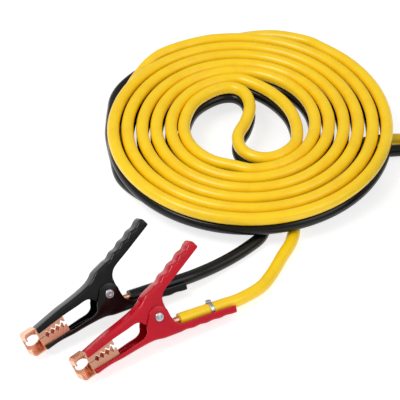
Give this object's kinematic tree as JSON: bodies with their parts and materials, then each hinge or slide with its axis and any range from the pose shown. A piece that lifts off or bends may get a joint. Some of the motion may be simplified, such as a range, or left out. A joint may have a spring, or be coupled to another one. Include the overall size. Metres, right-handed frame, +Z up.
{
  "type": "car jumper cable",
  "caption": "Booster cable wound flat as a bonded yellow and black pair, with sprung copper-jawed clamps on its ends; it lies on the floor",
  "frame": {"origin": "on the floor, under the middle of the box round the four clamps", "axes": "+Z up; +Y from the near clamps towards the coil's far side; +X to the right of a viewer who looks along +Y"},
  "size_m": [0.4132, 0.4434, 0.0694],
  "materials": {
    "red_vinyl": "glossy dipped vinyl",
    "black_vinyl": "glossy dipped vinyl",
    "copper": "satin copper plate",
    "zinc": "bright zinc plate",
    "spring_steel": "black oxide",
    "black_jacket": "satin extruded vinyl",
    "yellow_jacket": "satin extruded vinyl"
  },
  "bodies": {
    "root": {"near_red_lower_grip": "red_vinyl", "near_red_lower_jaw": "copper", "near_red_pivot_rivet": "zinc", "near_red_spring": "spring_steel", "near_red_cable_strap": "zinc", "near_black_lower_grip": "black_vinyl", "near_black_lower_jaw": "copper", "near_black_pivot_rivet": "zinc", "near_black_spring": "spring_steel", "near_black_cable_strap": "zinc", "far_red_lower_grip": "red_vinyl", "far_red_lower_jaw": "copper", "far_red_pivot_rivet": "zinc", "far_red_spring": "spring_steel", "far_red_cable_strap": "zinc", "far_black_lower_grip": "black_vinyl", "far_black_lower_jaw": "copper", "far_black_pivot_rivet": "zinc", "far_black_spring": "spring_steel", "far_black_cable_strap": "zinc", "black_coil": "black_jacket", "yellow_coil": "yellow_jacket", "black_centre": "black_jacket", "yellow_centre": "yellow_jacket", "near_black_lead": "black_jacket", "near_yellow_lead": "yellow_jacket", "far_black_lead": "black_jacket", "far_yellow_lead": "yellow_jacket"},
    "near_red_upper": {"near_red_upper_grip": "red_vinyl", "near_red_upper_jaw": "copper"},
    "near_black_upper": {"near_black_upper_grip": "black_vinyl", "near_black_upper_jaw": "copper"},
    "far_red_upper": {"far_red_upper_grip": "red_vinyl", "far_red_upper_jaw": "copper"},
    "far_black_upper": {"far_black_upper_grip": "black_vinyl", "far_black_upper_jaw": "copper"}
  },
  "joints": [
    {"name": "near_red_squeeze", "type": "hinge", "parent": "root", "child": "near_red_upper", "pos_m": [-0.09193, -0.07251, 0.02503], "axis": [-0.4423, 0.7024, -0.5577], "range_deg": [0, 26], "stiffness_Nm_per_rad": 2, "springref_deg": -45.84},
    {"name": "near_black_squeeze", "type": "hinge", "parent": "root", "child": "near_black_upper", "pos_m": [-0.13493, -0.04462, 0.02503], "axis": [-0.4423, 0.7024, -0.5577], "range_deg": [0, 26], "stiffness_Nm_per_rad": 2, "springref_deg": -45.84},
    {"name": "far_red_squeeze", "type": "hinge", "parent": "root", "child": "far_red_upper", "pos_m": [0.18597, 0.06039, 0.02503], "axis": [-0.83, 0, -0.5577], "range_deg": [0, 26], "stiffness_Nm_per_rad": 2, "springref_deg": -45.84},
    {"name": "far_black_squeeze", "type": "hinge", "parent": "root", "child": "far_black_upper", "pos_m": [0.15997, 0.06039, 0.02503], "axis": [-0.83, 0, -0.5577], "range_deg": [0, 26], "stiffness_Nm_per_rad": 2, "springref_deg": -45.84}
  ]
}
